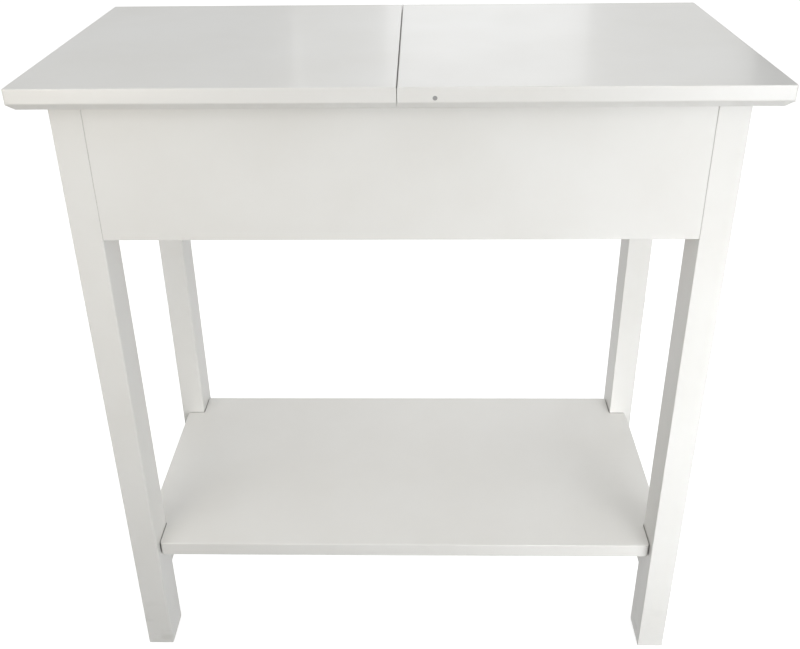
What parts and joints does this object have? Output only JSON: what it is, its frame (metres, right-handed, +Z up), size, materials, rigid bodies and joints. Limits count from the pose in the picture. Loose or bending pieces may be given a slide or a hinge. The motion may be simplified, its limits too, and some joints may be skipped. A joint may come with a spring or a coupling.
{
  "type": "sewing table",
  "caption": "White sewing table with a lift-up two-leaf top over a shallow well, a deep apron, upright legs and a notched lower shelf.",
  "frame": {"origin": "on the floor, under the middle of the table", "axes": "+X to the right along the front, +Y to the hinged back, +Z up"},
  "size_m": [0.733, 0.3644, 0.762],
  "materials": {
    "lacquer_top": "white satin-gloss lacquer on moulded board",
    "lacquer_frame": "white satin lacquer on board",
    "panel": "white melamine-faced board",
    "cleat_wood": "planed softwood",
    "dowel_wood": "beech",
    "zinc": "zinc plated",
    "screw_steel": "zinc plated",
    "hinge_steel": "nickel plated",
    "stay_steel": "nickel plated",
    "glide": "moulded nylon",
    "bumper": "soft clear bumper"
  },
  "bodies": {
    "frame": {"leg_front_left": "lacquer_frame", "glide_front_left": "glide", "leg_front_right": "lacquer_frame", "glide_front_right": "glide", "leg_back_left": "lacquer_frame", "glide_back_left": "glide", "leg_back_right": "lacquer_frame", "glide_back_right": "glide", "apron_front": "lacquer_frame", "well_cleat_front": "cleat_wood", "apron_back": "lacquer_frame", "well_cleat_back": "cleat_wood", "apron_left": "lacquer_frame", "well_cleat_left": "cleat_wood", "apron_right": "lacquer_frame", "well_cleat_right": "cleat_wood", "well_bottom": "panel", "lower_shelf": "lacquer_frame", "shelf_rail_left": "lacquer_frame", "shelf_rail_right": "lacquer_frame", "dowels": "dowel_wood", "cam_bolts": "zinc", "cam_nuts": "zinc", "cleat_screws": "screw_steel", "well_bottom_screws": "screw_steel", "shelf_screws": "screw_steel", "hinge_frame_screws": "screw_steel", "stay_plate_screws": "screw_steel", "glide_nails": "screw_steel", "leaf_bumpers": "bumper", "hinge_frame_plate_left_inner": "hinge_steel", "hinge_pin_left_inner": "hinge_steel", "hinge_frame_plate_left_outer": "hinge_steel", "hinge_pin_left_outer": "hinge_steel", "stay_stud_plate_left": "stay_steel", "hinge_frame_plate_right_inner": "hinge_steel", "hinge_pin_right_inner": "hinge_steel", "hinge_frame_plate_right_outer": "hinge_steel", "hinge_pin_right_outer": "hinge_steel", "stay_stud_plate_right": "stay_steel"},
    "left_leaf": {"leaf_left": "lacquer_top", "hinge_leaf_plate_left_inner": "hinge_steel", "hinge_leaf_plate_left_outer": "hinge_steel", "hinge_leaf_screws_left": "screw_steel", "stay_bracket_left": "stay_steel", "stay_rivet_left": "stay_steel", "stay_bracket_screws_left": "screw_steel"},
    "right_leaf": {"leaf_right": "lacquer_top", "hinge_leaf_plate_right_inner": "hinge_steel", "hinge_leaf_plate_right_outer": "hinge_steel", "hinge_leaf_screws_right": "screw_steel", "stay_bracket_right": "stay_steel", "stay_rivet_right": "stay_steel", "stay_bracket_screws_right": "screw_steel"},
    "left_stay": {"stay_arm_left": "stay_steel"},
    "right_stay": {"stay_arm_right": "stay_steel"}
  },
  "joints": [
    {"name": "left_leaf_lift", "type": "hinge", "parent": "frame", "child": "left_leaf", "pos_m": [-0.155, 0.17925, 0.739], "axis": [-1, 0, 0], "range_deg": [0, 95]},
    {"name": "right_leaf_lift", "type": "hinge", "parent": "frame", "child": "right_leaf", "pos_m": [0.155, 0.17925, 0.739], "axis": [-1, 0, 0], "range_deg": [0, 95]},
    {"name": "left_stay_swing", "type": "hinge", "parent": "left_leaf", "child": "left_stay", "pos_m": [-0.3031, 0.11808, 0.73035], "axis": [-1, 0, 0], "range_deg": [-48, 0]},
    {"name": "right_stay_swing", "type": "hinge", "parent": "right_leaf", "child": "right_stay", "pos_m": [0.3031, 0.11808, 0.73035], "axis": [-1, 0, 0], "range_deg": [-48, 0]}
  ],
  "couplings": [
    {"joint": "left_stay_swing", "follows": "left_leaf_lift", "ratio": -0.5},
    {"joint": "right_stay_swing", "follows": "right_leaf_lift", "ratio": -0.5}
  ]
}
